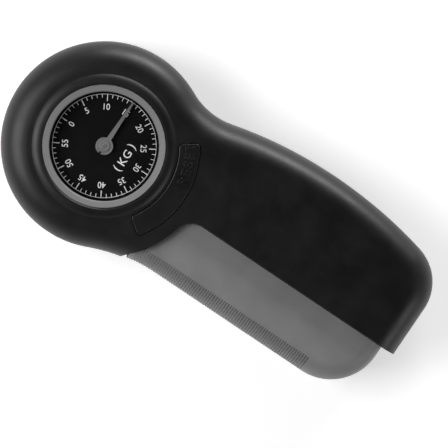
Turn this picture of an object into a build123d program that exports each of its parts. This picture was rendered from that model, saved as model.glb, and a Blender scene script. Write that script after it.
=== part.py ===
from build123d import *
import os
from math import acos, asin, cos, degrees, pi, radians, sin, sqrt, tan

# Hand dynamometer: a round dial head on a squeeze handle. The palm rests on the black casing, the
# fingers pull the grey grip toward it against two springs, and a rack on the grip turns the dial train.
# Modelling frame (mm): the dial's axis is Z and passes through X = Y = 0, +X runs along the handle away
# from the head, +Y points to the palm side, Z = 0 is the flat back. At export the part moves along X, so
# that its origin is at the middle of its back.

# ---- overall shape -----------------------------------------------------------------------------
HEAD_R = 38.0
HANDLE_END = 131.5
THICKNESS = 32.0
PARTING_Z = 16.5
WALL = 2.2
TOP_ROUND = 10.0
BOTTOM_ROUND = 8.0
NECK_R = 26.8
NECK_ANGLE = 63.9
PALM_R = 170.0
PALM_X = 78.0
CORNER_R = 18.0
FLARE_R = 63.9
FLARE_X = 41.5
FRONT_CORNER_R = 20.0

# ---- seam where the grip slides under the casing -----------------------------------------------
SEAM_R = 40.4
SEAM_Y = -4.6
SEAM_FILLET = 7.0
BEAK_START_Y = -28.0
BEAK_TIP = (27.3, -30.8)
SEAM_CHAMFER = 0.4

# ---- grip --------------------------------------------------------------------------------------
TRAVEL = 8.0
GRIP_GAP = 0.5
GRIP_INSET = 0.5
GRIP_ROUND = 7.0
GRIP_WALL = 2.2
GRIP_OPEN = 6.0
GRIP_END = 126.3
GRIP_TIP_X = 29.6
GRIP_UNDERLAP_R = 39.0
GRIP_UNDERLAP_Y = 1.6
SLIDE_CLEARANCE = 0.35
RIB_PITCH = 1.0
RIB_GROOVE = 0.45
RIB_DEPTH = 0.3
RIB_PROUD = 0.02
RIB_REACH = 6.0
FINGER_BAND = 4.7
GRIP_BOSS_R = 4.0

# ---- dial stack (heights above the back) -------------------------------------------------------
DIAL_BORE_R = 22.6
LEDGE_BORE_R = 18.5
LEDGE_Z = 24.9
DIAL_Z = 26.4
DIAL_T = 0.6
COLLAR_R = 26.2
COLLAR_CREST_R = 23.4
COLLAR_TOP = 33.0
WELL_WALL = 1.6
WINDOW_R = 21.6
WINDOW_Z = 30.9
WINDOW_T = 1.1
GASKET_R = 20.3
GASKET_T = 0.4
BEZEL_R = 22.4
BEZEL_INNER_R = 19.9
BEZEL_TOP = 32.8
BEZEL_FALL = 0.35
BEZEL_BOTTOM = 28.4

# ---- pointer and its arbor ---------------------------------------------------------------------
ARBOR_R = 0.7
RUNNING_FIT = 0.05
ARBOR_BOTTOM = 5.2
COLLET_R = 1.6
COLLET_Z = 8.1
COLLET_T = 1.8
FOLLOWER_Z = 17.75
FOLLOWER_T = 0.7
FOLLOWER_LENGTH = 6.4
FOLLOWER_ANGLE = 290
HAIRSPRING_R = 1.9
HAIRSPRING_HALF_TURNS = 8
HAIRSPRING_PITCH = 0.9
HAIRSPRING_T = 0.2
HAIRSPRING_H = 1.2
POINTER_Z = 28.2
POINTER_T = 0.5
POINTER_LENGTH = 19.0
POINTER_HUB_R = 3.2
CAP_R = 2.0
CAP_T = 0.45
ARBOR_PROUD = 0.75

# ---- gear train: rack -> rack pinion + wheel -> driver pinion on the pointer's arbor -----------
RACK_MODULE = 0.6
RACK_PINION_TEETH = 12
WHEEL_MODULE = 0.5
WHEEL_TEETH = 34
DRIVER_TEETH = 12
BACKLASH = 0.10
PRESSURE = radians(20)
ADDENDUM = 0.85
DEDENDUM = 1.15
FLANK_STEPS = 4
TRAIN_X = WHEEL_MODULE * (WHEEL_TEETH + DRIVER_TEETH) / 2
RACK_PITCH_X = TRAIN_X + RACK_MODULE * RACK_PINION_TEETH / 2
RACK_BACK = 3.4
RACK_BACK_X = RACK_PITCH_X + DEDENDUM * RACK_MODULE + RACK_BACK
RACK_Z = 9.3
RACK_T = 3.0
RACK_FIRST_TOOTH = -6
RACK_LAST_TOOTH = 3
RACK_ARM_END = 58.0
PINION_ARBOR_R = 1.0
PINION_SEAT_R = 1.5
RACK_PINION_Z = 9.0
RACK_PINION_T = 3.6
WHEEL_Z = 14.0
WHEEL_T = 2.0
WHEEL_WINDOW_RING_R = 4.9
WHEEL_WINDOW_R = 1.5
DRIVER_HUB_R = 1.8
DRIVER_Z = 10.2
DRIVER_TEETH_Z = 13.6
DRIVER_TEETH_T = 2.8
DOG_DISC_T = 0.6
DOG_RING_R = 5.0
DOG_PIN_R = 0.5
DOG_ANGLE = 190

# ---- movement frame ----------------------------------------------------------------------------
PLATE_R = 21.0
PLATE_T = 1.5
PLATE_WINDOW_RING_R = 13.5
PLATE_WINDOW_R = 3.4
PLATE_WINDOW_ANGLES = (120, 240)
LOWER_PLATE_Z = 6.0
UPPER_PLATE_Z = 19.0
PILLAR_RING_R = 18.0
PILLAR_ANGLES = (60, 180, 300)
PILLAR_R = 2.4
POST_R = 3.0
BUSH_R = 2.0
BUSH_FLANGE_T = 0.3
MOVEMENT_SCREW_R = 1.0
MOVEMENT_SCREW_BOTTOM = 3.0
MOVEMENT_HEAD_R = 2.0
MOVEMENT_HEAD_T = 1.2
GUIDE_Y = (3.6, 6.4)
GUIDE_TOP = 12.4

# ---- reset button and brake lever --------------------------------------------------------------
BUTTON_IN_R = 27.2
BUTTON_OUT_R = 34.8
BUTTON_HALF_ANGLE = 35.5
BUTTON_CORNER = 1.3
BUTTON_GAP = 0.25
BUTTON_T = 1.5
BUTTON_TOP = 32.6
BUTTON_UNDER = BUTTON_TOP - BUTTON_T
BRIDGE_T = 0.8
PLUNGER_X = 31.0
PLUNGER_R = 2.0
PLUNGER_GAP = 0.03
LEG_HALF_X = 1.5
LEG_Y = (7.15, 8.3)
HOOK_Y = 6.4
HOOK_T = 0.8
TRAY_Z = 25.0
TRAY_T = 1.2
TRAY_HALF_Y = 7.0
TRAY_WALL = 1.2
RESET_SPRING_R = 2.9
RESET_SPRING_WIRE = 0.6
RESET_SPRING_TURNS = 4.0
LEVER_PIVOT_X = 16.0
LEVER_X = (4.2, 33.0)
LEVER_HALF_Y = 1.5
LEVER_Z = 22.7
LEVER_T = 1.2
LEVER_PIN_R = 0.75
LEVER_PIN_HALF = 4.6
CHEEK_Y = 3.2
CHEEK_T = 1.0
BRAKE_PAD_X = (4.4, 6.4)
LEVER_PIVOT_Z = LEVER_Z + LEVER_T / 2
BRAKE_Z = 21.3
BRAKE_T = 0.9
BRAKE_R = 7.0

# ---- squeeze springs and their guides ----------------------------------------------------------
ROD_XS = (62.0, 102.0)
ROD_R = 3.0
MID_Z = 16.5
ROD_HEAD_R = 5.0
ROD_HEAD_T = 2.0
ROD_TAIL = 4.0
CLIP_AT = 2.9
CLIP_T = 0.8
CLIP_DEPTH = 0.4
CARRIER_X = (46.0, 118.0)
CARRIER_Y = -5.0
CARRIER_T = 3.0
CARRIER_Z = (7.0, 26.0)
CARRIER_SCREW_XS = (74.0, 90.0, 114.0)
CARRIER_SCREW_R = 1.25
CARRIER_SCREW_LENGTH = 18.0
CARRIER_HEAD_R = 2.6
CARRIER_HEAD_T = 1.6
RACK_SCREW_XS = (49.0, 54.0)
RACK_SCREW_R = 0.9
RACK_SCREW_LENGTH = 6.0
RACK_HEAD_R = 1.6
RACK_HEAD_T = 0.9
RACK_ARM_T = 3.0
BACK_BAR_X = (50.0, 113.5)
BACK_BAR_Z = (7.5, 25.5)
BACK_BAR_Y = 28.0
BACK_BAR_T = 3.0
SPRING_R = 8.0
SPRING_WIRE = 2.7
SPRING_TURNS = 6.5
BUSH_OUT_R = 4.5
BUSH_LENGTH = 7.0

# ---- screws ------------------------------------------------------------------------------------
CASING_SCREW_PLACES = ((-19.2, 19.2), (-19.2, -19.2), (7, -26.3), (45, 21.5), (118.5, 16.5))
CASING_SCREW_R = 1.5
SCREW_HEAD_R = 2.8
SCREW_HEAD_T = 2.0
SCREW_SINK = 3.4
SCREW_BITE = 9.0
FRONT_BOSS_R = 3.2
REAR_BOSS_R = 4.2
FIT_GAP = 0.03

MIDDLE_X = (HANDLE_END - HEAD_R) / 2
BIG = 400.0


# ---- helpers -----------------------------------------------------------------------------------

def save(name, shape):
    """Writes one sub-part with the part's origin at the middle of its back."""
    export_step(Pos(-MIDDLE_X, 0, 0) * shape, f"parts/{name}.step")


def group(shapes):
    """Several separate solids kept as one node."""
    return Compound(children=[solid for shape in shapes for solid in shape.solids()])


def polar(radius, degrees):
    return Vector(radius * cos(radians(degrees)), radius * sin(radians(degrees)))


def toward(start, target, distance):
    """The point at a distance from start on the line to target."""
    return start + (target - start).normalized() * distance


def short_arc(centre, start, end):
    """The arc under 180 degrees about a centre from start to end."""
    middle = toward(centre, (start + end) / 2, (start - centre).length)
    return ThreePointArc(start, middle, end)


def tube(outer_r, inner_r, z, height):
    ring = Circle(outer_r) - Circle(inner_r)
    return Pos(0, 0, z) * extrude(ring, amount=height)


def rod(radius, z, height):
    return Pos(0, 0, z) * extrude(Circle(radius), amount=height)


def block(x0, x1, y0, y1, z0, z1):
    """A box between two corners."""
    centre = Pos((x0 + x1) / 2, (y0 + y1) / 2, (z0 + z1) / 2)
    return centre * Box(x1 - x0, y1 - y0, z1 - z0)


def along_y(x, y, z, shape):
    """Stands a shape, drawn upward along Z, along +Y at a point."""
    return Pos(x, y, z) * Rot(-90, 0, 0) * shape


def turned(profile):
    """A body of revolution about the dial's axis, from radius and height pairs."""
    face = make_face(Polyline(*profile, close=True))
    return revolve(Plane.XZ * face, Axis.Z)


# ---- casing outline ----------------------------------------------------------------------------

HEAD = Vector(0, 0)
NECK = polar(HEAD_R + NECK_R, NECK_ANGLE)
PALM = Vector(PALM_X, NECK.Y - sqrt((PALM_R + NECK_R) ** 2 - (PALM_X - NECK.X) ** 2))
CORNER_X = HANDLE_END - CORNER_R
CORNER = Vector(CORNER_X, PALM.Y + sqrt((PALM_R - CORNER_R) ** 2 - (CORNER_X - PALM_X) ** 2))
FLARE = Vector(FLARE_X, -sqrt((HEAD_R + FLARE_R) ** 2 - FLARE_X**2))


def envelope(inset):
    """The whole outline, inset by a distance: head, flare, straight finger side, end, palm swell, neck."""
    head_neck = toward(HEAD, NECK, HEAD_R - inset)
    head_flare = toward(HEAD, FLARE, HEAD_R - inset)
    front_y = FLARE.Y + FLARE_R + inset
    flare_end = Vector(FLARE_X, front_y)
    front_corner = Vector(HANDLE_END - FRONT_CORNER_R, front_y + FRONT_CORNER_R - inset)
    front_stop = Vector(front_corner.X, front_y)
    end_start = Vector(HANDLE_END - inset, front_corner.Y)
    end_stop = Vector(HANDLE_END - inset, CORNER.Y)
    corner_palm = toward(PALM, CORNER, PALM_R - inset)
    palm_neck = toward(PALM, NECK, PALM_R - inset)
    edges = [
        ThreePointArc(head_neck, Vector(inset - HEAD_R, 0), head_flare),
        short_arc(FLARE, head_flare, flare_end),
        Line(flare_end, front_stop),
        short_arc(front_corner, front_stop, end_start),
        Line(end_start, end_stop),
        short_arc(CORNER, end_stop, corner_palm),
        short_arc(PALM, corner_palm, palm_neck),
        short_arc(NECK, palm_neck, head_neck),
    ]
    return make_face(edges)


def casing_body(inset):
    """The closed casing shape with rounded top and bottom edges, inset all round."""
    solid = Pos(0, 0, inset) * extrude(envelope(inset), amount=THICKNESS - 2 * inset)
    solid = fillet(solid.edges().group_by(Axis.Z)[-1], TOP_ROUND - inset)
    return fillet(solid.edges().group_by(Axis.Z)[0], BOTTOM_ROUND - inset)


def seam_curve(radius, line_y, fillet_r, start):
    """From a point on the arc about the dial, round a hollow fillet, to the straight seam."""
    fillet_y = line_y - fillet_r
    fillet_centre = Vector(sqrt((radius + fillet_r) ** 2 - fillet_y**2), fillet_y)
    arc_end = toward(HEAD, fillet_centre, radius)
    line_start = Vector(fillet_centre.X, line_y)
    return [short_arc(HEAD, start, arc_end), short_arc(fillet_centre, arc_end, line_start)], line_start


def seam_face():
    """Everything on the finger side of the seam, which the casing leaves to the grip."""
    beak_start = Vector(sqrt(SEAM_R**2 - BEAK_START_Y**2), BEAK_START_Y)
    below = toward(beak_start, Vector(*BEAK_TIP), 8)
    curves, line_start = seam_curve(SEAM_R, SEAM_Y, SEAM_FILLET, beak_start)
    rest = Polyline(line_start, (BIG, SEAM_Y), (BIG, -BIG), (below.X, -BIG), below, beak_start)
    return make_face([*curves, *rest.edges()])


def seam_bevel():
    """The sloping cut that breaks the casing's top edge along the seam."""
    return Pos(0, 0, THICKNESS - SEAM_CHAMFER) * extrude(seam_face(), amount=SEAM_CHAMFER, taper=-45)


# ---- grip shape --------------------------------------------------------------------------------

def grip_outline(grow, reach):
    """The grip seen along Z, grown all round; reach moves its hidden edge further into the casing."""
    front_y = FLARE.Y + FLARE_R + GRIP_INSET - grow
    flare_r = front_y - FLARE.Y
    tip_x = GRIP_TIP_X - grow
    tip = Vector(tip_x, FLARE.Y + sqrt(flare_r**2 - (FLARE_X - tip_x) ** 2))
    end_x = GRIP_END + grow
    corner_r = FRONT_CORNER_R - 0.3 + grow
    corner = Vector(end_x - corner_r, front_y + corner_r)
    underlap_r = GRIP_UNDERLAP_R - reach
    underlap_y = GRIP_UNDERLAP_Y + reach
    hidden_tip = Vector(tip_x, -sqrt(underlap_r**2 - tip_x**2))
    curves, line_start = seam_curve(underlap_r, underlap_y, SEAM_FILLET + 1.0, hidden_tip)
    flare_end = Vector(FLARE_X, front_y)
    corner_start = Vector(corner.X, front_y)
    corner_end = Vector(end_x, corner.Y)
    end_top = Vector(end_x, underlap_y)
    edges = [
        *curves,
        Line(line_start, end_top),
        Line(end_top, corner_end),
        short_arc(corner, corner_end, corner_start),
        Line(corner_start, flare_end),
        short_arc(FLARE, flare_end, tip),
        Line(tip, hidden_tip),
    ]
    return make_face(edges)


def finger_side_edges(solid, z, tip_x):
    """The edges at a height along the grip's outer side: the finger face, its corner and its end."""
    level = solid.edges().filter_by_position(Axis.Z, z - 0.01, z + 0.01)
    band_y = FLARE.Y + FLARE_R + FINGER_BAND
    end_x = GRIP_END - FRONT_CORNER_R / 2
    front = [e for e in level if e.center().Y < band_y and e.center().X > tip_x + 1]
    end = [e for e in level if e.center().X > end_x and band_y < e.center().Y < -1]
    return front + end


def grip_body(grow, reach):
    """The grip's outer shape, solid, with its finger-side edges rounded."""
    bottom = WALL + GRIP_GAP - grow
    top = THICKNESS - WALL - GRIP_GAP + grow
    tip_x = GRIP_TIP_X - grow
    solid = Pos(0, 0, bottom) * extrude(grip_outline(grow, reach), amount=top - bottom)
    solid = fillet(finger_side_edges(solid, top, tip_x), GRIP_ROUND + grow)
    return fillet(finger_side_edges(solid, bottom, tip_x), GRIP_ROUND + grow)


def rib_section(inset, reach):
    """The grip's rounded section across X, inset all round and cut off at a reach from its finger face."""
    bottom = WALL + GRIP_GAP + inset
    top = THICKNESS - WALL - GRIP_GAP - inset
    front_y = FLARE.Y + FLARE_R + GRIP_INSET
    deep = 4 * GRIP_ROUND - 2 * inset
    middle_z = (bottom + top) / 2
    outline = Pos(front_y + inset + deep / 2, middle_z) * RectangleRounded(deep, top - bottom, GRIP_ROUND - inset)
    near = Pos(front_y, middle_z) * Rectangle(2 * reach, top - bottom)
    return outline & near


def rib_groove(width):
    """A groove of some width round the grip's finger side, drawn from X = 0."""
    around = 2 * RIB_REACH
    height = THICKNESS - 2 * GRIP_GAP
    front_y = FLARE.Y + FLARE_R + GRIP_INSET
    outside = Pos(front_y, THICKNESS / 2) * Rectangle(around, height)
    return extrude(Plane.YZ * (outside - rib_section(RIB_DEPTH, around)), amount=width)


def ribbed(shell):
    """The grip's shell with its ribs: across the straight finger face, and fanned round the flare."""
    first = FLARE_X + RIB_PITCH / 2
    count = int((GRIP_END - FRONT_CORNER_R - first) / RIB_PITCH)
    band = RIB_PITCH * (count - 1) + RIB_GROOVE
    shell -= Pos(first, 0, 0) * rib_groove(band)
    section = rib_section(-RIB_PROUD, RIB_REACH + RIB_DEPTH) - rib_section(3 * RIB_DEPTH, 2 * RIB_REACH)
    rib = extrude(Plane.YZ * section, amount=RIB_PITCH - RIB_GROOVE)
    shell += [Pos(first + RIB_GROOVE + RIB_PITCH * place, 0, 0) * rib for place in range(count - 1)]
    step = degrees(RIB_PITCH / FLARE_R)
    last = degrees((FLARE_X - GRIP_TIP_X - RIB_PITCH) / FLARE_R)
    centred = Pos(0, -FLARE.Y, 0) * rib_groove(RIB_GROOVE)
    turns = [step * (place + 0.5) for place in range(int(last / step))]
    return shell - [Pos(FLARE.X, FLARE.Y, 0) * Rot(0, 0, turn) * centred for turn in turns]


# ---- gears -------------------------------------------------------------------------------------

def involute(angle):
    return tan(angle) - angle


def gear_face(teeth, module, phase):
    """A spur gear's outline; one tooth is centred at the phase angle, in radians."""
    pitch_r = module * teeth / 2
    base_r = pitch_r * cos(PRESSURE)
    tip_r = pitch_r + ADDENDUM * module
    root_r = pitch_r - DEDENDUM * module
    half_at_pitch = pi / (2 * teeth) - BACKLASH / (4 * pitch_r)

    def half_angle(radius):
        pressure_here = acos(min(1.0, base_r / radius))
        return half_at_pitch + involute(PRESSURE) - involute(pressure_here)

    start_r = max(base_r, root_r)
    radii = [start_r + (tip_r - start_r) * step / FLANK_STEPS for step in range(FLANK_STEPS + 1)]
    if root_r < start_r:
        radii.insert(0, root_r)
    points = []
    for tooth in range(teeth):
        centre = phase + 2 * pi * tooth / teeth
        rising = [(r, centre - half_angle(r)) for r in radii]
        falling = [(r, centre + half_angle(r)) for r in reversed(radii)]
        points += [(r * cos(a), r * sin(a)) for r, a in rising + falling]
    return make_face(Polyline(*points, close=True))


def rack_face(first, last):
    """A strip of rack teeth along Y facing -X, one centred on every whole pitch from first to last."""
    pitch = pi * RACK_MODULE
    tip_x = RACK_PITCH_X - ADDENDUM * RACK_MODULE
    root_x = RACK_PITCH_X + DEDENDUM * RACK_MODULE
    half = pitch / 4 - BACKLASH / 4
    tip_half = half - ADDENDUM * RACK_MODULE * tan(PRESSURE)
    root_half = half + DEDENDUM * RACK_MODULE * tan(PRESSURE)
    points = [(RACK_BACK_X, (first - 0.5) * pitch), (root_x, (first - 0.5) * pitch)]
    for tooth in range(first, last + 1):
        y = tooth * pitch
        points += [(root_x, y - root_half), (tip_x, y - tip_half)]
        points += [(tip_x, y + tip_half), (root_x, y + root_half)]
    points += [(root_x, (last + 0.5) * pitch), (RACK_BACK_X, (last + 0.5) * pitch)]
    return make_face(Polyline(*points, close=True))


def raised(face, z, height):
    return Pos(0, 0, z) * extrude(face, amount=height)


# ---- springs -----------------------------------------------------------------------------------

def coil(radius, wire, turns, length):
    """A compression spring with open ends between Z = 0 and its length; radius is to the wire's middle."""
    height = length - wire
    path = Pos(0, 0, wire / 2) * Helix(height / turns, height, radius)
    section = Plane(path @ 0, z_dir=path % 0) * Circle(wire / 2)
    return sweep(section, path, is_frenet=True)


# ---- casing ------------------------------------------------------------------------------------

def kidney(inner_r, outer_r, half_angle, corner):
    """The reset button's outline: a band about the dial, either side of the handle's line."""
    low_in = polar(inner_r, -half_angle)
    low_out = polar(outer_r, -half_angle)
    high_in = polar(inner_r, half_angle)
    high_out = polar(outer_r, half_angle)
    edges = [
        short_arc(HEAD, low_out, high_out),
        Line(high_out, high_in),
        short_arc(HEAD, high_in, low_in),
        Line(low_in, low_out),
    ]
    face = make_face(edges)
    return fillet(face.vertices(), corner)


def parting_groove():
    """A fine groove round the outside where the two casings meet."""
    ring = envelope(-1.0) - envelope(0.3)
    return raised(ring, PARTING_Z - 0.2, 0.4)


def grip_way():
    """The space that the grip needs inside the casing over its travel."""
    grown = grip_body(SLIDE_CLEARANCE, SLIDE_CLEARANCE)
    shares = (0, 0.07, 0.15, 0.22, 0.32, 0.45, 0.62, 0.82, 1.02)
    return [Pos(0, TRAVEL * share, 0) * grown for share in shares]


def bar_seats(z0, z1):
    """Ribs behind the back bar's ends and middle, and lips before its ends."""
    start, end = BACK_BAR_X
    middle = (start + end) / 2
    rib = 2.5
    back = BACK_BAR_Y + BACK_BAR_T
    behind = [start + 0.5, middle - rib / 2, end - 0.5 - rib]
    before = [start - 0.5, end - 2]
    ribs_behind = [block(x, x + rib, back, HEAD_R, z0, z1) for x in behind]
    lips = [block(x, x + rib, BACK_BAR_Y - 2, BACK_BAR_Y, z0, z1) for x in before]
    return ribs_behind + lips


def collar():
    """The raised ring of the casing round the bezel, its top falling away outward in a soft curve."""
    drop = COLLAR_TOP - THICKNESS
    fall = COLLAR_R - COLLAR_CREST_R
    curve_r = (fall**2 + drop**2) / (2 * drop)
    half = asin(fall / curve_r) / 2
    bottom = THICKNESS - WALL
    crest = (COLLAR_CREST_R, COLLAR_TOP)
    middle = (COLLAR_CREST_R + curve_r * sin(half), COLLAR_TOP - curve_r * (1 - cos(half)))
    foot = (COLLAR_R, THICKNESS)
    rest = Polyline(foot, (COLLAR_R, bottom), (0, bottom), (0, COLLAR_TOP), crest)
    section = make_face([ThreePointArc(crest, middle, foot), *rest.edges()])
    ring = revolve(Plane.XZ * section, Axis.Z)
    lead_in = (DIAL_BORE_R + 0.3, COLLAR_TOP)
    return ring - turned([(0, COLLAR_TOP - 0.3), (DIAL_BORE_R, COLLAR_TOP - 0.3), lead_in, (0, COLLAR_TOP)])


def button_tray():
    """The shelf under the reset button, with the stem's hole, and the wall at its outer end."""
    end = BUTTON_OUT_R + 0.6 + TRAY_WALL
    shelf = block(DIAL_BORE_R + 0.6, end, -TRAY_HALF_Y, TRAY_HALF_Y, TRAY_Z, TRAY_Z + TRAY_T)
    wall = block(end - TRAY_WALL, end, -TRAY_HALF_Y, TRAY_HALF_Y, TRAY_Z, THICKNESS - 1)
    hole = Pos(PLUNGER_X, 0) * rod(PLUNGER_R + 0.15, TRAY_Z, TRAY_T)
    return shelf + wall - rod(DIAL_BORE_R, TRAY_Z, BUTTON_T + TRAY_T) - hole


def front_casing():
    """The half with the dial well, its raised collar, the button's opening and the button's guide tray."""
    shell = casing_body(0) - casing_body(WALL)
    shell -= raised(seam_face(), 0, THICKNESS)
    shell -= seam_bevel()
    inner = casing_body(0.6)
    shell -= block(-BIG, BIG, -BIG, BIG, -1, PARTING_Z)
    well = tube(DIAL_BORE_R + WELL_WALL, LEDGE_BORE_R, LEDGE_Z, THICKNESS - LEDGE_Z)
    boss = rod(FRONT_BOSS_R, PARTING_Z, THICKNESS - PARTING_Z)
    bosses = [Pos(x, y) * boss for x, y in CASING_SCREW_PLACES]
    inside = Part() + [well, *bosses, *bar_seats(PARTING_Z, THICKNESS)]
    shell = shell + (inside & inner) + collar()
    shell -= rod(DIAL_BORE_R, DIAL_Z, THICKNESS)
    shell -= rod(LEDGE_BORE_R, LEDGE_Z - 1, THICKNESS)
    opening = kidney(
        BUTTON_IN_R - BUTTON_GAP,
        BUTTON_OUT_R + BUTTON_GAP,
        BUTTON_HALF_ANGLE + degrees(BUTTON_GAP / BUTTON_OUT_R),
        BUTTON_CORNER + BUTTON_GAP,
    )
    shell -= raised(opening, TRAY_Z + TRAY_T, THICKNESS)
    shell += button_tray()
    for step in grip_way():
        shell -= step
    for x, y in CASING_SCREW_PLACES:
        shell -= Pos(x, y) * rod(CASING_SCREW_R + FIT_GAP, PARTING_Z, SCREW_BITE + 1)
    return shell - parting_groove()


def rear_casing():
    """The back half with the screw bosses and the posts that carry the movement."""
    shell = casing_body(0) - casing_body(WALL)
    inner = casing_body(0.6)
    shell -= block(-BIG, BIG, -BIG, BIG, PARTING_Z, THICKNESS + 1)
    shell -= raised(seam_face(), 0, THICKNESS)
    bosses = [Pos(x, y) * rod(REAR_BOSS_R, 0, PARTING_Z) for x, y in CASING_SCREW_PLACES]
    posts = [Pos(polar(PILLAR_RING_R, a)) * rod(POST_R, 0, LOWER_PLATE_Z) for a in PILLAR_ANGLES]
    inside = Part() + [*bosses, *posts, *bar_seats(1, PARTING_Z)]
    shell = shell + (inside & inner)
    for step in grip_way():
        shell -= step
    for x, y in CASING_SCREW_PLACES:
        shell -= Pos(x, y) * rod(CASING_SCREW_R + 0.1, 0, PARTING_Z)
        shell -= Pos(x, y) * rod(SCREW_HEAD_R + 0.2, 0, SCREW_SINK)
    screw_hole = rod(MOVEMENT_SCREW_R + FIT_GAP, MOVEMENT_SCREW_BOTTOM - 0.4, LOWER_PLATE_Z)
    for angle in PILLAR_ANGLES:
        shell -= Pos(polar(PILLAR_RING_R, angle)) * screw_hole
    return shell - parting_groove()


def cross_head(head_r, head_t, shank_r, shank_length):
    """A screw pointing up from Z = 0 with a rounded cross-recess head below."""
    head = rod(head_r, -head_t, head_t)
    head = fillet(head.edges().group_by(Axis.Z)[0], head_t * 0.45)
    recess = Box(head_r * 1.1, head_r * 0.28, head_t) + Box(head_r * 0.28, head_r * 1.1, head_t)
    return head - Pos(0, 0, -head_t) * recess + rod(shank_r, 0, shank_length)


def casing_screws():
    length = PARTING_Z - SCREW_SINK + SCREW_BITE
    screw = cross_head(SCREW_HEAD_R, SCREW_HEAD_T, CASING_SCREW_R, length)
    return group([Pos(x, y, SCREW_SINK) * screw for x, y in CASING_SCREW_PLACES])


# ---- dial stack --------------------------------------------------------------------------------

def bezel_ring():
    """The grey ring round the window; its lip holds the window and its skirt snaps into the casing."""
    skirt_r = BEZEL_R - 0.65
    lip_z = WINDOW_Z + WINDOW_T
    return turned([
        (skirt_r, BEZEL_BOTTOM),
        (BEZEL_R, BEZEL_BOTTOM),
        (BEZEL_R, BEZEL_TOP - 0.3),
        (BEZEL_R - 0.25, BEZEL_TOP),
        (BEZEL_INNER_R + 0.35, BEZEL_TOP - BEZEL_FALL),
        (BEZEL_INNER_R, BEZEL_TOP - 2 * BEZEL_FALL),
        (BEZEL_INNER_R, lip_z),
        (skirt_r, lip_z),
    ])


def dial_ring():
    """The slanted ring that stands between the dial and the window."""
    bottom = DIAL_Z + DIAL_T
    top = WINDOW_Z - GASKET_T
    return turned([(BEZEL_INNER_R, bottom), (WINDOW_R, bottom), (WINDOW_R, top), (GASKET_R, top)])


# ---- pointer, arbor, train ---------------------------------------------------------------------

def pointer_needle():
    """The hub and tapered needle, pointing to +Y as it rests at 15 on the scale."""
    blade = Polyline((-1.0, 0), (-0.35, POINTER_LENGTH), (0.35, POINTER_LENGTH), (1.0, 0), close=True)
    face = Circle(POINTER_HUB_R) + make_face(blade)
    face -= Circle(ARBOR_R)
    face -= Pos(0, -POINTER_HUB_R) * Rectangle(0.8, 1.6)
    return raised(face, POINTER_Z, POINTER_T)


def pointer_cap():
    """The small stepped collar that clamps the needle on its arbor."""
    cap = tube(CAP_R, ARBOR_R, POINTER_Z + POINTER_T, CAP_T)
    return fillet(cap.edges().group_by(Axis.Z)[-1].sort_by(SortBy.RADIUS)[-1], 0.2)


def pointer_arbor():
    """The steel arbor that carries the needle, with its collet for the hairspring."""
    top = POINTER_Z + POINTER_T + ARBOR_PROUD
    return rod(ARBOR_R, ARBOR_BOTTOM, top - ARBOR_BOTTOM) + rod(COLLET_R, COLLET_Z, COLLET_T)


def follower_arm():
    """The arm on the pointer's arbor that the driver's dog pushes toward higher readings."""
    arm = Circle(COLLET_R) + Pos(FOLLOWER_LENGTH / 2, 0) * Rectangle(FOLLOWER_LENGTH, 1.2) - Circle(ARBOR_R)
    hub = tube(COLLET_R, ARBOR_R, FOLLOWER_Z - 0.4, 0.4)
    return Rot(0, 0, FOLLOWER_ANGLE) * (raised(arm, FOLLOWER_Z, FOLLOWER_T) + hub)


def driver_pinion():
    """The pinion that runs free on the pointer's arbor and carries the dog disc above its teeth."""
    teeth = raised(gear_face(DRIVER_TEETH, WHEEL_MODULE, 0), DRIVER_TEETH_Z, DRIVER_TEETH_T)
    hub = rod(DRIVER_HUB_R, DRIVER_Z, DRIVER_TEETH_Z - DRIVER_Z)
    disc = rod(DOG_RING_R + 0.9, DRIVER_TEETH_Z + DRIVER_TEETH_T, DOG_DISC_T)
    return teeth + hub + disc - rod(ARBOR_R + RUNNING_FIT, 0, THICKNESS) - dog_pin()


def dog_pin():
    """The upright pin in the driver's disc."""
    z = DRIVER_TEETH_Z + DRIVER_TEETH_T
    return Pos(polar(DOG_RING_R, DOG_ANGLE)) * rod(DOG_PIN_R, z, DOG_DISC_T + 0.5)


def pinion_arbor():
    """The steel arbor cut with the rack pinion."""
    # The rack's tooth is centred on the pinion's line, so the pinion has a gap there.
    outline = gear_face(RACK_PINION_TEETH, RACK_MODULE, pi / RACK_PINION_TEETH)
    teeth = raised(outline, RACK_PINION_Z, RACK_PINION_T)
    teeth_top = RACK_PINION_Z + RACK_PINION_T
    seat = rod(PINION_SEAT_R, teeth_top, WHEEL_Z + WHEEL_T - teeth_top)
    top = UPPER_PLATE_Z + PLATE_T + 0.5
    return Pos(TRAIN_X, 0) * (teeth + seat + rod(PINION_ARBOR_R, ARBOR_BOTTOM, top - ARBOR_BOTTOM))


def transfer_wheel():
    """The brass wheel pressed on the pinion arbor; it has a gap where the driver's tooth enters."""
    face = gear_face(WHEEL_TEETH, WHEEL_MODULE, pi / WHEEL_TEETH) - Circle(PINION_SEAT_R)
    window = Circle(WHEEL_WINDOW_R)
    windows = [Pos(polar(WHEEL_WINDOW_RING_R, 60 * spoke + 30)) * window for spoke in range(6)]
    return Pos(TRAIN_X, 0) * raised(face - windows, WHEEL_Z, WHEEL_T)


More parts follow.
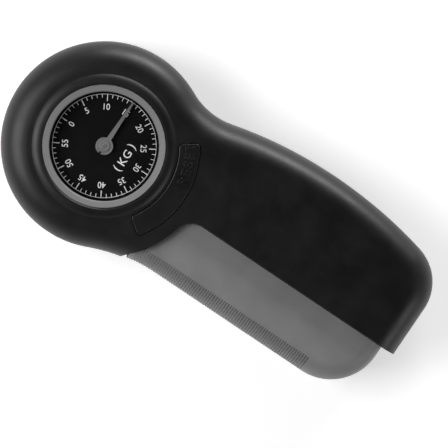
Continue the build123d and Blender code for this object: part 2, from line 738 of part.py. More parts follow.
def hairspring():
    """The flat spiral that returns the pointer to zero, wound of half circles about two centres."""

    def half_circles(extra):
        arcs = []
        for turn in range(HAIRSPRING_HALF_TURNS):
            radius = HAIRSPRING_R + extra + turn * HAIRSPRING_PITCH / 2
            side = 1 if turn % 2 == 0 else -1
            centre_x = 0 if side == 1 else HAIRSPRING_PITCH / 2
            start = Vector(centre_x + side * radius, 0)
            end = Vector(centre_x - side * radius, 0)
            arcs.append(ThreePointArc(start, Vector(centre_x, side * radius), end))
        return arcs

    inner = half_circles(0)
    outer = half_circles(HAIRSPRING_T)
    start_cap = Line(inner[0] @ 0, outer[0] @ 0)
    end_cap = Line(inner[-1] @ 1, outer[-1] @ 1)
    face = make_face([*inner, *outer, start_cap, end_cap])
    return Rot(0, 0, 180) * raised(face, COLLET_Z + 0.2, HAIRSPRING_H)


def hairspring_stud():
    """The stud on the lower plate beside the hairspring's outer end."""
    outer_r = HAIRSPRING_R + HAIRSPRING_HALF_TURNS * HAIRSPRING_PITCH / 2
    radius = 0.6
    return Pos(-outer_r - 0.35 - radius, 0) * rod(radius, LOWER_PLATE_Z + PLATE_T, 2.4)


def rack_guide():
    """The block on the lower plate that keeps the rack against its pinion."""
    start, end = GUIDE_Y
    return block(RACK_BACK_X + 0.1, RACK_BACK_X + 1.5, start, end, LOWER_PLATE_Z + PLATE_T, GUIDE_TOP)


def movement_plate(z):
    """A brass plate with the pillars' screw holes and the arbors' bush seats."""
    seat = Circle(BUSH_R + FIT_GAP)
    face = Circle(PLATE_R) - seat - Pos(TRAIN_X, 0) * seat
    face -= [Pos(polar(PILLAR_RING_R, a)) * Circle(MOVEMENT_SCREW_R + 0.1) for a in PILLAR_ANGLES]
    window = Circle(PLATE_WINDOW_R)
    face -= [Pos(polar(PLATE_WINDOW_RING_R, a)) * window for a in PLATE_WINDOW_ANGLES]
    return raised(face, z, PLATE_T)


def arbor_bushes():
    """Flanged bushes for both arbors, pressed into both plates from inside the movement."""
    bushes = []
    flanged = (
        (LOWER_PLATE_Z, LOWER_PLATE_Z + PLATE_T),
        (UPPER_PLATE_Z, UPPER_PLATE_Z - BUSH_FLANGE_T),
    )
    for x, radius in ((0, ARBOR_R), (TRAIN_X, PINION_ARBOR_R)):
        for plate_z, flange_z in flanged:
            body = rod(BUSH_R, plate_z, PLATE_T) + rod(BUSH_R + 0.6, flange_z, BUSH_FLANGE_T)
            bushes.append(Pos(x, 0) * (body - rod(radius + RUNNING_FIT, 0, THICKNESS)))
    return group(bushes)


def plate_pillars():
    height = UPPER_PLATE_Z - LOWER_PLATE_Z - PLATE_T
    pillar = tube(PILLAR_R, MOVEMENT_SCREW_R + 0.1, LOWER_PLATE_Z + PLATE_T, height)
    return group([Pos(polar(PILLAR_RING_R, a)) * pillar for a in PILLAR_ANGLES])


def movement_screws():
    """Long screws down through both plates and pillars into the back casing's posts."""
    top = UPPER_PLATE_Z + PLATE_T
    screw = rod(MOVEMENT_SCREW_R, MOVEMENT_SCREW_BOTTOM, top - MOVEMENT_SCREW_BOTTOM)
    slot_x = MOVEMENT_HEAD_R + 1
    slot = block(-slot_x, slot_x, -0.3, 0.3, top + MOVEMENT_HEAD_T / 2, top + 2)
    head = rod(MOVEMENT_HEAD_R, top, MOVEMENT_HEAD_T) - slot
    return group([Pos(polar(PILLAR_RING_R, a)) * (screw + head) for a in PILLAR_ANGLES])


# ---- grip sub-parts ----------------------------------------------------------------------------

def grip_handle():
    """The grey finger grip: a hollow moulding, open to the palm side, ribbed across its finger face."""
    shell = grip_body(0, 0) - grip_body(-GRIP_WALL, GRIP_OPEN)
    front_y = FLARE.Y + FLARE_R
    boss = rod(GRIP_BOSS_R, 0, CARRIER_Y - front_y)
    bosses = [along_y(x, front_y, MID_Z, boss) for x in CARRIER_SCREW_XS]
    shell += (Part() + bosses) & grip_body(-0.8, -0.8)
    pilot = rod(CARRIER_SCREW_R + FIT_GAP, 5, THICKNESS)
    shell -= [along_y(x, front_y, MID_Z, pilot) for x in CARRIER_SCREW_XS]
    return ribbed(shell)


def carrier_plate():
    """The steel plate across the grip that pushes both springs."""
    plate = block(*CARRIER_X, CARRIER_Y, CARRIER_Y + CARRIER_T, *CARRIER_Z)
    plate = fillet(plate.edges().filter_by(Axis.Y), 3)
    rack_z = RACK_Z + RACK_T / 2
    plate -= [along_y(x, CARRIER_Y, MID_Z, rod(BUSH_OUT_R + FIT_GAP, 0, CARRIER_T)) for x in ROD_XS]
    screw_hole = rod(CARRIER_SCREW_R + 0.1, 0, CARRIER_T)
    plate -= [along_y(x, CARRIER_Y, MID_Z, screw_hole) for x in CARRIER_SCREW_XS]
    holes = [along_y(x, CARRIER_Y, rack_z, rod(RACK_SCREW_R + 0.1, 0, CARRIER_T)) for x in RACK_SCREW_XS]
    return plate - holes


def rack():
    """The toothed rack with its arm out to the carrier plate."""
    toothed = raised(rack_face(RACK_FIRST_TOOTH, RACK_LAST_TOOTH), RACK_Z, RACK_T)
    arm_y = CARRIER_Y - RACK_ARM_T
    arm = block(RACK_BACK_X - 1, RACK_ARM_END, arm_y, CARRIER_Y, RACK_Z, RACK_Z + RACK_T)
    hole = rod(RACK_SCREW_R + FIT_GAP, 0, RACK_ARM_T)
    holes = [along_y(x, arm_y, RACK_Z + RACK_T / 2, hole) for x in RACK_SCREW_XS]
    return toothed + arm - holes


def screws_along_y(xs, z, head_r, head_t, shank_r, length):
    """Slotted screws driven toward -Y through the carrier plate, their heads on its face."""
    head = rod(head_r, 0, head_t) - block(-head_r, head_r, -0.3, 0.3, head_t * 0.5, head_t)
    screw = head + rod(shank_r, -length, length)
    return group([along_y(x, CARRIER_Y + CARRIER_T, z, screw) for x in xs])


def carrier_screws():
    """The screws that hold the carrier plate on the grip's bosses."""
    shank = (CARRIER_SCREW_R, CARRIER_SCREW_LENGTH)
    return screws_along_y(CARRIER_SCREW_XS, MID_Z, CARRIER_HEAD_R, CARRIER_HEAD_T, *shank)


def rack_screws():
    """The small screws that hold the rack's arm under the carrier plate."""
    shank = (RACK_SCREW_R, RACK_SCREW_LENGTH)
    return screws_along_y(RACK_SCREW_XS, RACK_Z + RACK_T / 2, RACK_HEAD_R, RACK_HEAD_T, *shank)


def guide_bushes():
    bush = tube(BUSH_OUT_R, ROD_R + RUNNING_FIT, 0, BUSH_LENGTH)
    return group([along_y(x, CARRIER_Y, MID_Z, bush) for x in ROD_XS])


# ---- springs' guides ---------------------------------------------------------------------------

def back_bar():
    """The steel bar inside the palm side that the springs press against."""
    bar = block(*BACK_BAR_X, BACK_BAR_Y, BACK_BAR_Y + BACK_BAR_T, *BACK_BAR_Z)
    return bar - [along_y(x, BACK_BAR_Y, MID_Z, rod(ROD_R + FIT_GAP, 0, BACK_BAR_T)) for x in ROD_XS]


def guide_rods():
    """Headed rods through the back bar and the carrier, each with a groove for its clip."""
    length = BACK_BAR_Y + BACK_BAR_T - CARRIER_Y + ROD_TAIL
    guide = rod(ROD_R, 0, length) + rod(ROD_HEAD_R, length, ROD_HEAD_T)
    guide -= tube(ROD_R + 1, ROD_R - CLIP_DEPTH, CLIP_AT, CLIP_T)
    return group([along_y(x, CARRIER_Y - ROD_TAIL, MID_Z, guide) for x in ROD_XS])


def rod_clips():
    face = Circle(ROD_R + 1.6) - Circle(ROD_R - CLIP_DEPTH) - Pos(0, -4) * Rectangle(3.2, 5)
    clip = extrude(face, amount=CLIP_T)
    return group([along_y(x, CARRIER_Y - ROD_TAIL + CLIP_AT, MID_Z, clip) for x in ROD_XS])


def squeeze_spring(x):
    carrier_face = CARRIER_Y + CARRIER_T
    spring = coil(SPRING_R - SPRING_WIRE / 2, SPRING_WIRE, SPRING_TURNS, BACK_BAR_Y - carrier_face)
    return along_y(x, carrier_face, MID_Z, spring)


# ---- reset button parts ------------------------------------------------------------------------

def reset_button():
    """The curved button cap, a little proud of the casing."""
    outline = kidney(BUTTON_IN_R, BUTTON_OUT_R, BUTTON_HALF_ANGLE, BUTTON_CORNER)
    cap = raised(outline, BUTTON_UNDER, BUTTON_T)
    return fillet(cap.edges().group_by(Axis.Z)[-1], 0.4)


def reset_plunger():
    """The stem that works the lever with its domed tip, and two snap legs that clip under the tray."""
    lever_top = LEVER_Z + LEVER_T
    stem = rod(PLUNGER_R, lever_top + PLUNGER_GAP, BUTTON_UNDER - lever_top - PLUNGER_GAP)
    stem = Pos(PLUNGER_X, 0) * fillet(stem.edges().group_by(Axis.Z)[0], PLUNGER_R - 0.05)
    x0, x1 = PLUNGER_X - LEG_HALF_X, PLUNGER_X + LEG_HALF_X
    leg_in, leg_out = LEG_Y
    hook_top = TRAY_Z - 0.1
    leg = block(x0, x1, leg_in, leg_out, hook_top - HOOK_T, BUTTON_UNDER)
    leg += block(x0, x1, HOOK_Y, leg_out, hook_top - HOOK_T, hook_top)
    bridge = block(x0, x1, -leg_out, leg_out, BUTTON_UNDER - BRIDGE_T, BUTTON_UNDER)
    return stem + bridge + leg + mirror(leg, Plane.XZ)


def reset_spring():
    bottom = TRAY_Z + TRAY_T
    length = BUTTON_UNDER - BRIDGE_T - bottom
    spring = coil(RESET_SPRING_R, RESET_SPRING_WIRE, RESET_SPRING_TURNS, length)
    return Pos(PLUNGER_X, 0, bottom) * spring


def across_lever(radius, half):
    """A round bar along Y on the lever's pivot."""
    return along_y(LEVER_PIVOT_X, -half, LEVER_PIVOT_Z, rod(radius, 0, 2 * half))


def reset_lever():
    """The rocker under the dial: pressing the button lifts its inner end off the brake disc."""
    bar = block(*LEVER_X, -LEVER_HALF_Y, LEVER_HALF_Y, LEVER_Z, LEVER_Z + LEVER_T)
    bore = across_lever(LEVER_PIN_R + RUNNING_FIT, 2 * LEVER_HALF_Y)
    return bar + across_lever(2 * LEVER_PIN_R, LEVER_HALF_Y) - bore


def brake_pad():
    top = BRAKE_Z + BRAKE_T
    return block(*BRAKE_PAD_X, 0.2 - LEVER_HALF_Y, LEVER_HALF_Y - 0.2, top, LEVER_Z)


def lever_bracket():
    """The cheeks on the upper plate that hold the lever's pin."""
    base_z = UPPER_PLATE_Z + PLATE_T
    base_x = (LEVER_PIVOT_X - 2.1, LEVER_PIVOT_X + 2.1)
    cheek_x = (LEVER_PIVOT_X - 1.5, LEVER_PIVOT_X + 1.5)
    outer_y = CHEEK_Y + CHEEK_T
    base = block(*base_x, -outer_y - 0.2, outer_y + 0.2, base_z, base_z + 0.6)
    cheeks = [block(*cheek_x, y, y + CHEEK_T, base_z, LEVER_PIVOT_Z + 1.3) for y in (-outer_y, CHEEK_Y)]
    return base + cheeks - across_lever(LEVER_PIN_R, 2 * outer_y)


def lever_spring():
    """The little torsion coil on the lever's pin, with a leg down to the bracket's base."""
    inner_r = LEVER_PIN_R + 0.1
    outer_r = inner_r + 0.4
    y = LEVER_HALF_Y + 0.25
    spring = along_y(LEVER_PIVOT_X, y, LEVER_PIVOT_Z, tube(outer_r, inner_r, 0, 1.2))
    foot_z = UPPER_PLATE_Z + PLATE_T + 0.6
    leg = block(LEVER_PIVOT_X + inner_r, LEVER_PIVOT_X + outer_r, y, y + 0.4, foot_z, LEVER_PIVOT_Z)
    return spring + leg


def main():
    os.makedirs("parts", exist_ok=True)

    # Casing and dial
    save("front_casing", front_casing())
    save("rear_casing", rear_casing())
    save("casing_screws", casing_screws())
    save("bezel_ring", bezel_ring())
    save("dial_window", rod(WINDOW_R, WINDOW_Z, WINDOW_T))
    save("window_gasket", tube(WINDOW_R, GASKET_R, WINDOW_Z - GASKET_T, GASKET_T))
    save("dial_ring", dial_ring())
    save("dial_plate", tube(BEZEL_R, 1.6, DIAL_Z, DIAL_T))

    # Movement frame
    save("lower_plate", movement_plate(LOWER_PLATE_Z))
    save("upper_plate", movement_plate(UPPER_PLATE_Z))
    save("plate_pillars", plate_pillars())
    save("movement_screws", movement_screws())
    save("arbor_bushes", arbor_bushes())
    save("rack_guide", rack_guide())

    # Gear train
    save("pinion_arbor", pinion_arbor())
    save("transfer_wheel", transfer_wheel())
    save("driver_pinion", driver_pinion())
    save("dog_pin", dog_pin())

    # Pointer
    save("pointer_needle", pointer_needle())
    save("pointer_cap", pointer_cap())
    save("pointer_arbor", pointer_arbor())
    save("follower_arm", follower_arm())
    save("brake_disc", tube(BRAKE_R, ARBOR_R, BRAKE_Z, BRAKE_T))
    save("hairspring", hairspring())
    save("hairspring_stud", hairspring_stud())

    # Reset
    save("reset_button", reset_button())
    save("reset_plunger", reset_plunger())
    save("reset_spring", reset_spring())
    save("reset_lever", reset_lever())
    save("brake_pad", brake_pad())
    save("lever_bracket", lever_bracket())
    save("lever_pin", across_lever(LEVER_PIN_R, LEVER_PIN_HALF))
    save("lever_spring", lever_spring())

    # Grip
    save("grip_handle", grip_handle())
    save("carrier_plate", carrier_plate())
    save("carrier_screws", carrier_screws())
    save("rack", rack())
    save("rack_screws", rack_screws())
    save("guide_bushes", guide_bushes())

    # Springs and guides
    save("back_bar", back_bar())
    save("guide_rods", guide_rods())
    save("rod_clips", rod_clips())
    for name, x in zip(("squeeze_spring_near", "squeeze_spring_far"), ROD_XS):
        save(name, squeeze_spring(x))


main()
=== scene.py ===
from math import cos, pi, radians, sin, tan

import bmesh
import bpy
from mathutils import Matrix, Vector


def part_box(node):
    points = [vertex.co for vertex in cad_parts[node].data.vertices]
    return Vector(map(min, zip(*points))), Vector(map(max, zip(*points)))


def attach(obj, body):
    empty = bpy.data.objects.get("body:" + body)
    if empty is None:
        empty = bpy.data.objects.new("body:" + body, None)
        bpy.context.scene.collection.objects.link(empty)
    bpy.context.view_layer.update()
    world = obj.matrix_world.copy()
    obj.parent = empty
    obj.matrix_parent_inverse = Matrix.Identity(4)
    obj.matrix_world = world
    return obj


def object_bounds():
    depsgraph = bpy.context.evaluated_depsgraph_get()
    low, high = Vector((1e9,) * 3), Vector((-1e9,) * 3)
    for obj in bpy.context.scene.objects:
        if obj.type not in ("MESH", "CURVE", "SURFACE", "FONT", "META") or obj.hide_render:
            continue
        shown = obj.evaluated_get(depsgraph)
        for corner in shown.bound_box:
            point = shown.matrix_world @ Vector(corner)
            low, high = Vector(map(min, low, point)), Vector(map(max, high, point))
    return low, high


# Hand dynamometer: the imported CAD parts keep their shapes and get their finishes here. The dial's print
# and the reset button's raised letters are added on top. The camera looks down on the dial, and leans a
# little toward the picture's left and top.

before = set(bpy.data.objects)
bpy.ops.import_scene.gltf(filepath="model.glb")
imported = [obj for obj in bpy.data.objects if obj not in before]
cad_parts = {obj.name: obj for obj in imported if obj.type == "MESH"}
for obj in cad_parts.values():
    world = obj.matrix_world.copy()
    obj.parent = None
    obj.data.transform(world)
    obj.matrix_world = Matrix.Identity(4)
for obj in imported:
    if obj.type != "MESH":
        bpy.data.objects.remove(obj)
cad_low, cad_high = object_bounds()

MM = 0.001
WELD = 1e-7                     # corners nearer than this are one corner

# ---- camera ------------------------------------------------------------------------------------------
TURN = radians(34)              # how far the handle slopes down to the right in the picture
IMAGE_RIGHT = Vector((cos(TURN), sin(TURN), 0))
IMAGE_UP = Vector((-sin(TURN), cos(TURN), 0))
LOOK_AT = Vector((0.00615, 0.0001, 0.0165))
LEAN_LEFT = radians(1.7)        # how far the camera stands off the vertical, toward the picture's left
LEAN_UP = radians(4.4)          # and toward its top
CAMERA_DISTANCE = 0.9
VIEW_WIDTH = 0.16577
SENSOR = 36.0
CLIP_START = 0.01
CLIP_END = 20

# ---- dial print --------------------------------------------------------------------------------------
KG_PER_TURN = 60
ZERO_AT = 180                   # where the scale starts, in degrees; it runs clockwise
MARK_STEP = 5
RING_R = 18.8 * MM
RING_W = 0.16 * MM
RING_STEPS = 240
MINOR_TICK = 1.25 * MM
MAJOR_TICK = 2.5 * MM
MINOR_W = 0.24 * MM
MAJOR_W = 0.32 * MM
NUMBER_R = 14.3 * MM
NUMBER_H = 2.25 * MM
NUMBER_SQUEEZE = 0.94
PRINT_T = 0.03 * MM
TICK_T = PRINT_T * 0.9          # the marks end just below the ring's top, where they cross it
PRINT_SINK = 0.01 * MM
UNIT_AT = (8.6 * MM, 0.6 * MM)
UNIT_GLYPHS = (                 # each glyph's place along the line and its height
    ("(", -4.8 * MM, 4.0 * MM),
    ("K", -1.55 * MM, 3.0 * MM),
    ("G", 1.5 * MM, 3.0 * MM),
    (")", 4.8 * MM, 4.0 * MM),
)

# ---- raised letters on the reset button --------------------------------------------------------------
RESET_R = 31.3 * MM
RESET_START = 10.4              # degrees
RESET_STEP = 5.6
RESET_H = 3.7 * MM
RESET_T = 0.34 * MM

# ---- the built-in font, in its own units, before a glyph is scaled -----------------------------------
STROKE = 0.006                  # how much bolder each stroke is made
FLAT_EXTRUDE = 0.5              # how far a printed glyph is drawn out each way
RESET_ROUNDING = 0.03           # the radius of the edges on the raised letters
ROUNDED_WALL = 0.25             # and the upright wall between them each way, as a share of it
ROUNDING_STEPS = 3
CURVE_STEPS = 6

# ---- sizes of the marks in the finishes --------------------------------------------------------------
MOULD_GRAIN = 0.35 * MM
BUTTON_GRAIN = 0.25 * MM
MOULD_DEPTH = 0.006 * MM
MOTTLE = 14 * MM
RUBBED_PATCH = 5 * MM
SHEEN_PATCH = 9 * MM
DUST_GAP = 6 * MM
DUST_R = 0.09 * MM
PAINT_CLOUD = 0.5 * MM
PAINT_PATCH = 3 * MM
PEEL = 0.6 * MM
PEEL_DEPTH = 0.003 * MM
TOOL_MARK = 0.4 * MM
TOOL_DEPTH = 0.002 * MM
TARNISH = 4 * MM

# ---- studio ------------------------------------------------------------------------------------------
FLOOR_SIZE = 6.0
FLOOR_TONES = (0.88, 0.90)
FLOOR_GLOW = 0.42
TENT_SINES = (0.10, 0.90)       # the tent darkens between these sines of the elevation
TENT_LEVELS = (0.62, 0.02)
LAMPS = (                       # name, way along the picture's right and up, distance, height, size, watts
    ("key", (-1, 0.15), 0.46, 0.42, (0.40, 0.40), 2.8),
    ("back", (0.45, 1), 1.1, 0.28, (0.9, 0.30), 11),
    ("end", (1, -0.9), 0.9, 0.50, (0.4, 0.4), 1.5),
)


def placed(centre, right, up):
    """The matrix that puts a flat drawing at a point, with its own right and up along these directions."""
    out = right.cross(up)
    turned = Matrix((right, up, out)).transposed().to_4x4()
    return Matrix.Translation(centre) @ turned


def camera():
    data = bpy.data.cameras.new("camera")
    data.sensor_width = SENSOR
    data.lens = SENSOR * CAMERA_DISTANCE / VIEW_WIDTH
    data.clip_start, data.clip_end = CLIP_START, CLIP_END
    made = bpy.data.objects.new("camera", data)
    back = (Vector((0, 0, 1)) - tan(LEAN_LEFT) * IMAGE_RIGHT + tan(LEAN_UP) * IMAGE_UP).normalized()
    right = IMAGE_UP.cross(back).normalized()
    made.matrix_world = placed(LOOK_AT + back * CAMERA_DISTANCE, right, back.cross(right))
    bpy.context.scene.collection.objects.link(made)
    bpy.context.scene.camera = made


# ---- finishes ----------------------------------------------------------------------------------------

def set_range(node, from_low, from_high, low, high):
    """The four limits of a Map Range node."""
    limits = {"From Min": from_low, "From Max": from_high, "To Min": low, "To Max": high}
    for socket, value in limits.items():
        node.inputs[socket].default_value = value


class Finish:
    """A node material round one Principled shader, textured in the piece's own metres."""

    def __init__(self, name, **sockets):
        self.material = bpy.data.materials.new(name)
        self.material.use_nodes = True
        self.tree = self.material.node_tree
        self.shader = self.tree.nodes["Principled BSDF"]
        self.where = self.tree.nodes.new("ShaderNodeTexCoord").outputs["Object"]
        for socket, value in sockets.items():
            self.shader.inputs[socket.replace("_", " ")].default_value = value

    def link(self, out, socket):
        self.tree.links.new(out, socket)

    def noise(self, size, detail, stretch=(1, 1, 1)):
        """A grey noise whose grains are about size metres across, drawn out along an axis by stretch."""
        place = self.tree.nodes.new("ShaderNodeMapping")
        place.inputs["Scale"].default_value = [1 / (size * s) for s in stretch]
        self.link(self.where, place.inputs["Vector"])
        node = self.tree.nodes.new("ShaderNodeTexNoise")
        node.inputs["Scale"].default_value = 1
        node.inputs["Detail"].default_value = detail
        self.link(place.outputs["Vector"], node.inputs["Vector"])
        return node.outputs["Fac"]

    def specks(self, spacing, radius):
        """Small round specks, one in about every spacing metres: 1 inside a speck and 0 outside."""
        node = self.tree.nodes.new("ShaderNodeTexVoronoi")
        node.inputs["Scale"].default_value = 1 / spacing
        self.link(self.where, node.inputs["Vector"])
        return self.remap(node.outputs["Distance"], radius / spacing, 0.5 * radius / spacing)

    def remap(self, fac, from_low, from_high, low=0, high=1):
        node = self.tree.nodes.new("ShaderNodeMapRange")
        set_range(node, from_low, from_high, low, high)
        self.link(fac, node.inputs["Value"])
        return node.outputs["Result"]

    def mix(self, fac, a, b):
        """A colour between a and b; each is a colour or another socket."""
        node = self.tree.nodes.new("ShaderNodeMix")
        node.data_type = "RGBA"
        colours = [s for s in node.inputs if s.type == "RGBA"]
        self.link(fac, node.inputs["Factor"])
        for socket, value in zip(colours, (a, b)):
            if isinstance(value, bpy.types.NodeSocket):
                self.link(value, socket)
            else:
                socket.default_value = (*value, 1)
        return [s for s in node.outputs if s.type == "RGBA"][0]

    def colour(self, socket):
        self.link(socket, self.shader.inputs["Base Color"])

    def rough(self, fac, low, high):
        """Roughness from low to high over the middle of a noise, where most of it lies."""
        self.link(self.remap(fac, 0.3, 0.7, low, high), self.shader.inputs["Roughness"])

    def bump(self, *layers):
        """Each layer is a height from 0 to 1, and its depth in metres."""
        normal = None
        for height, depth in layers:
            node = self.tree.nodes.new("ShaderNodeBump")
            node.inputs["Strength"].default_value = 1
            node.inputs["Distance"].default_value = depth
            self.link(height, node.inputs["Height"])
            if normal is not None:
                self.link(normal, node.inputs["Normal"])
            normal = node.outputs["Normal"]
        self.link(normal, self.shader.inputs["Normal"])
        return self


def grey(level):
    return (level, level, level)


def moulded(name, dark, light, dust, low, high, grain=MOULD_GRAIN, **sockets):
    """Satin moulded plastic: spark-eroded grain, faint flow mottling, handling sheen and a little dust."""
    f = Finish(name, **sockets)
    mottled = f.mix(f.remap(f.noise(MOTTLE, 4), 0.35, 0.65), dark, light)
    rubbed = f.mix(f.remap(f.noise(RUBBED_PATCH, 6, (1, 0.12, 1)), 0.62, 0.8, high=0.25), mottled, dust)
    f.colour(f.mix(f.specks(DUST_GAP, DUST_R), rubbed, dust))
    f.rough(f.noise(SHEEN_PATCH, 5), low, high)
    return f.bump((f.noise(grain, 2), MOULD_DEPTH), (f.noise(grain * 4, 3), MOULD_DEPTH * 1.5)).material


def painted(name, dark, light, low, high, **sockets):
    """Smooth satin paint over metal, with the faint orange peel of a sprayed coat."""
    f = Finish(name, **sockets)
    f.colour(f.mix(f.noise(PAINT_CLOUD, 4), dark, light))
    f.rough(f.noise(PAINT_PATCH, 4), low, high)
    return f.bump((f.noise(PEEL, 2), PEEL_DEPTH)).material


def metal(name, dark, light, low, high, stretch=(1, 1, 1)):
    """Bare metal with tool marks drawn out along stretch, and patches of tarnish."""
    f = Finish(name, Metallic=1.0)
    marks = f.noise(TOOL_MARK, 5, stretch)
    tarnish = f.remap(f.noise(TARNISH, 5), 0.4, 0.7)
    f.colour(f.mix(tarnish, light, dark))
    f.rough(marks, low, high)
    return f.bump((marks, TOOL_DEPTH)).material


def rubber(name):
    """Dull black rubber with a fine open grain."""
    f = Finish(name)
    f.colour(f.mix(f.noise(2 * MM, 4), grey(0.010), grey(0.018)))
    f.rough(f.noise(1 * MM, 3), 0.65, 0.85)
    return f.bump((f.noise(0.2 * MM, 3), 0.01 * MM)).material


def nylon(name):
    """Milky natural nylon, which light enters a little."""
    f = Finish(name, Subsurface_Weight=0.15, Subsurface_Radius=(1.2 * MM, 1.0 * MM, 0.8 * MM))
    f.colour(f.mix(f.noise(3 * MM, 4), (0.62, 0.60, 0.54), (0.72, 0.70, 0.65)))
    f.rough(f.noise(2 * MM, 3), 0.38, 0.55)
    return f.bump((f.noise(0.3 * MM, 3), 0.004 * MM)).material


def clear(name):
    """Clear acrylic with hairline wear, as the camera sees it; every other ray passes straight through."""
    f = Finish(name, IOR=1.49, Transmission_Weight=1.0, Base_Color=(0.99, 0.995, 1.0, 1))
    f.rough(f.noise(8 * MM, 5), 0.015, 0.06)
    f.bump((f.noise(6 * MM, 3), 0.001 * MM))
    nodes = f.tree.nodes
    passing = nodes.new("ShaderNodeBsdfTransparent")
    rays = nodes.new("ShaderNodeLightPath")
    choice = nodes.new("ShaderNodeMixShader")
    f.link(rays.outputs["Is Camera Ray"], choice.inputs["Fac"])
    f.link(passing.outputs["BSDF"], choice.inputs[1])
    f.link(f.shader.outputs["BSDF"], choice.inputs[2])
    f.link(choice.outputs["Shader"], nodes["Material Output"].inputs["Surface"])
    return f.material


def ink(name, level, spread):
    """Screen-printed ink, slightly uneven in tone."""
    f = Finish(name)
    f.colour(f.mix(f.noise(0.3 * MM, 4), grey(level - spread), grey(level + spread)))
    f.rough(f.noise(0.5 * MM, 3), 0.5, 0.65)
    return f.bump((f.noise(0.15 * MM, 3), 0.003 * MM)).material


def plastics():
    return {
        "casing_black": moulded(
            "satin_black_plastic", grey(0.0028), grey(0.0044), grey(0.011), 0.37, 0.47,
            Specular_IOR_Level=0.4,
        ),
        "button_black": moulded(
            "button_black_plastic", grey(0.0028), grey(0.0042), grey(0.010), 0.34, 0.44,
            grain=BUTTON_GRAIN, Specular_IOR_Level=0.4,
        ),
        "grip_grey": moulded("grip_grey_plastic", grey(0.185), grey(0.210), grey(0.25), 0.42, 0.55),
        "window_clear": clear("clear_acrylic"),
        "seal_rubber": rubber("seal_black_rubber"),
        "guide_nylon": nylon("natural_nylon"),
    }


def paints():
    return {
        "bezel_grey": painted("bezel_grey_paint", grey(0.175), grey(0.215), 0.38, 0.5),
        "dial_black": painted(
            "dial_black_paint", grey(0.0030), grey(0.0045), 0.55, 0.7, Specular_IOR_Level=0.08
        ),
        "pointer_grey": painted("pointer_grey_paint", grey(0.155), grey(0.185), 0.4, 0.5),
    }


def metals():
    """Each metal's name, its tarnished and clean colours, its roughness and the way of its tool marks."""
    kinds = {
        "movement_brass": ("brushed_brass", (0.45, 0.29, 0.11), (0.62, 0.43, 0.17), 0.25, 0.42, (8, 1, 1)),
        "bush_bronze": ("turned_bronze", (0.36, 0.20, 0.09), (0.52, 0.30, 0.14), 0.28, 0.45, (1, 1, 0.3)),
        "plated_steel": ("zinc_plated_steel", (0.42, 0.43, 0.43), (0.58, 0.59, 0.60), 0.28, 0.42),
        "ground_steel": ("ground_steel", (0.48, 0.48, 0.48), (0.62, 0.62, 0.63), 0.28, 0.40, (1, 1, 0.2)),
        "screw_steel": ("screw_steel", (0.33, 0.33, 0.34), (0.50, 0.50, 0.51), 0.25, 0.4, (1, 1, 0.4)),
        "spring_steel": ("spring_steel", (0.28, 0.28, 0.29), (0.42, 0.42, 0.43), 0.25, 0.4, (1, 1, 0.5)),
    }
    return {slot: metal(*kind) for slot, kind in kinds.items()}


def dress(by_slot):
    """Gives each CAD node its finish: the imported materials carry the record's slot names."""
    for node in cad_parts.values():
        for held in node.material_slots:
            held.material = by_slot[held.material.name.split(".")[0]]


# ---- lettering ---------------------------------------------------------------------------------------

def glyphs(text, height, thickness, squeeze=1.0, rounding=0.0):
    """A solid mesh of some text in the plain built-in font, centred, standing on Z = 0, in metres."""
    curve = bpy.data.curves.new("lettering", "FONT")
    curve.body = text
    curve.offset = STROKE / 2
    curve.extrude = FLAT_EXTRUDE if rounding == 0 else rounding * ROUNDED_WALL
    curve.bevel_depth = rounding
    curve.bevel_resolution = ROUNDING_STEPS
    curve.resolution_u = CURVE_STEPS
    writing = bpy.data.objects.new("lettering", curve)
    bpy.context.scene.collection.objects.link(writing)
    bpy.context.view_layer.update()
    mesh = bpy.data.meshes.new_from_object(writing)
    bpy.data.objects.remove(writing)
    low = Vector([min(v.co[i] for v in mesh.vertices) for i in range(3)])
    high = Vector([max(v.co[i] for v in mesh.vertices) for i in range(3)])
    scale = height / (high.y - low.y)
    middle = Vector(((low.x + high.x) / 2, (low.y + high.y) / 2, low.z))
    rise = thickness / (high.z - low.z)
    mesh.transform(Matrix.Diagonal((scale * squeeze, scale, rise, 1)) @ Matrix.Translation(-middle))
    return mesh


def add_mesh(target, mesh, matrix):
    mesh.transform(matrix)
    target.from_mesh(mesh)
    bpy.data.meshes.remove(mesh)


def add_prism(target, corners, low, high):
    """An upright prism over a flat ring of corners."""
    bottom = [target.verts.new((x, y, low)) for x, y in corners]
    top = [target.verts.new((x, y, high)) for x, y in corners]
    target.faces.new(reversed(bottom))
    target.faces.new(top)
    for i in range(len(corners)):
        j = (i + 1) % len(corners)
        target.faces.new((bottom[i], bottom[j], top[j], top[i]))


def piece_from(bm, name, material, body):
    bmesh.ops.remove_doubles(bm, verts=bm.verts, dist=WELD)
    bmesh.ops.recalc_face_normals(bm, faces=bm.faces)
    mesh = bpy.data.meshes.new(name)
    bm.to_mesh(mesh)
    bm.free()
    made = bpy.data.objects.new(name, mesh)
    mesh.materials.append(material)
    bpy.context.scene.collection.objects.link(made)
    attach(made, body)


def dial_centre():
    """The middle of the dial plate's top."""
    low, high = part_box("dial_plate")
    return Vector(((low.x + high.x) / 2, (low.y + high.y) / 2, high.z))


def scale_angle(value):
    return radians(ZERO_AT - 360 / KG_PER_TURN * value)


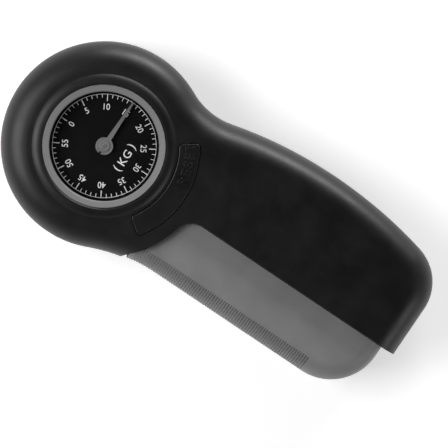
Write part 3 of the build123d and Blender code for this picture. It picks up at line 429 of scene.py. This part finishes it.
def scale_ring(white):
    """The fine circle round the scale."""
    centre = dial_centre()
    bm = bmesh.new()

    def circle(radius, z):
        turns = [2 * pi * s / RING_STEPS for s in range(RING_STEPS)]
        return [bm.verts.new((centre.x + radius * cos(t), centre.y + radius * sin(t), z)) for t in turns]

    low, high = centre.z - PRINT_SINK, centre.z + PRINT_T
    outer_low, outer_high = circle(RING_R + RING_W, low), circle(RING_R + RING_W, high)
    inner_low, inner_high = circle(RING_R, low), circle(RING_R, high)
    section = (outer_low, outer_high, inner_high, inner_low)
    for s in range(RING_STEPS):
        t = (s + 1) % RING_STEPS
        for a, b in zip(section, section[1:] + section[:1]):
            bm.faces.new((a[s], a[t], b[t], b[s]))
    piece_from(bm, "scale_ring", white, "casing")


def scale_marks(white):
    """A mark for each kilogram, with a longer one at every fifth."""
    centre = dial_centre()
    bm = bmesh.new()
    for value in range(KG_PER_TURN):
        angle = scale_angle(value)
        out = Vector((cos(angle), sin(angle)))
        side = Vector((-sin(angle), cos(angle)))
        major = value % MARK_STEP == 0
        length, half = (MAJOR_TICK, MAJOR_W / 2) if major else (MINOR_TICK, MINOR_W / 2)
        near, far = RING_R - length, RING_R + RING_W / 2
        ends = ((near, half), (far, half), (far, -half), (near, -half))
        corners = [centre.xy + out * r + side * s for r, s in ends]
        add_prism(bm, corners, centre.z - PRINT_SINK, centre.z + TICK_T)
    piece_from(bm, "scale_marks", white, "casing")


def scale_numbers(white):
    """The numbers 0 to 55, their tops outward, and the unit."""
    centre = dial_centre() - Vector((0, 0, PRINT_SINK))
    bm = bmesh.new()
    for value in range(0, KG_PER_TURN, MARK_STEP):
        angle = scale_angle(value)
        out = Vector((cos(angle), sin(angle), 0))
        right = Vector((sin(angle), -cos(angle), 0))
        number = glyphs(str(value), NUMBER_H, PRINT_T, NUMBER_SQUEEZE)
        add_mesh(bm, number, placed(centre + out * NUMBER_R, right, out))
    right, up = Vector((0, 1, 0)), Vector((-1, 0, 0))
    middle = centre + Vector((*UNIT_AT, 0))
    for glyph, along, height in UNIT_GLYPHS:
        add_mesh(bm, glyphs(glyph, height, PRINT_T), placed(middle + right * along, right, up))
    piece_from(bm, "scale_numbers", white, "casing")


def reset_letters(black):
    """The word on the reset button, raised in the same plastic, its letters following the button's curve."""
    centre = dial_centre()
    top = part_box("reset_button")[1].z
    bm = bmesh.new()
    for place, letter in enumerate("RESET"):
        angle = radians(RESET_START + RESET_STEP * place)
        out = Vector((cos(angle), sin(angle), 0))
        right = Vector((-sin(angle), cos(angle), 0))
        spot = Vector((centre.x, centre.y, top - PRINT_SINK)) + out * RESET_R
        raised = glyphs(letter, RESET_H, RESET_T, rounding=RESET_ROUNDING)
        add_mesh(bm, raised, placed(spot, right, -out))
    piece_from(bm, "reset_letters", black, "reset_key")


# ---- stage -------------------------------------------------------------------------------------------

def floor():
    """A pale floor that glows a little, so that it reads as a white background."""
    bm = bmesh.new()
    half = FLOOR_SIZE / 2
    corners = ((-half, -half), (half, -half), (half, half), (-half, half))
    bm.faces.new([bm.verts.new((x, y, cad_low.z)) for x, y in corners])
    mesh = bpy.data.meshes.new("floor")
    bm.to_mesh(mesh)
    bm.free()
    made = bpy.data.objects.new("floor", mesh)
    bpy.context.scene.collection.objects.link(made)
    f = Finish("pale_floor", Emission_Color=(1, 1, 1, 1), Emission_Strength=FLOOR_GLOW)
    f.colour(f.mix(f.noise(0.4, 3), *map(grey, FLOOR_TONES)))
    f.rough(f.noise(0.2, 3), 0.7, 0.8)
    mesh.materials.append(f.material)


def softbox(name, toward, distance, height, size, power):
    """A rectangular soft lamp that stands to one side and faces the part."""
    data = bpy.data.lights.new(name, "AREA")
    data.shape = "RECTANGLE"
    data.size, data.size_y = size
    data.energy = power
    lamp = bpy.data.objects.new(name, data)
    lamp.location = LOOK_AT + toward.normalized() * distance + Vector((0, 0, height))
    lamp.rotation_euler = (LOOK_AT - lamp.location).to_track_quat("-Z", "Y").to_euler()
    bpy.context.scene.collection.objects.link(lamp)


def surroundings():
    """A pale tent: bright near the horizon and darker overhead, where the camera is."""
    world = bpy.data.worlds.new("tent")
    bpy.context.scene.world = world
    world.use_nodes = True
    nodes, links = world.node_tree.nodes, world.node_tree.links
    where = nodes.new("ShaderNodeTexCoord")
    split = nodes.new("ShaderNodeSeparateXYZ")
    level = nodes.new("ShaderNodeMapRange")
    set_range(level, *TENT_SINES, *TENT_LEVELS)
    links.new(where.outputs["Generated"], split.inputs["Vector"])
    links.new(split.outputs["Z"], level.inputs["Value"])
    links.new(level.outputs["Result"], nodes["Background"].inputs["Strength"])
    nodes["Background"].inputs["Color"].default_value = (1, 1, 1, 1)


def lights():
    for name, (right, up), distance, height, size, power in LAMPS:
        softbox(name, right * IMAGE_RIGHT + up * IMAGE_UP, distance, height, size, power)


camera()
by_slot = {**plastics(), **paints(), **metals()}
dress(by_slot)
white_ink = ink("white_dial_ink", level=0.90, spread=0.04)
scale_ring(white_ink)
scale_marks(white_ink)
scale_numbers(white_ink)
reset_letters(by_slot["button_black"])
floor()
surroundings()
lights()
bpy.context.scene.view_settings.view_transform = "Standard"
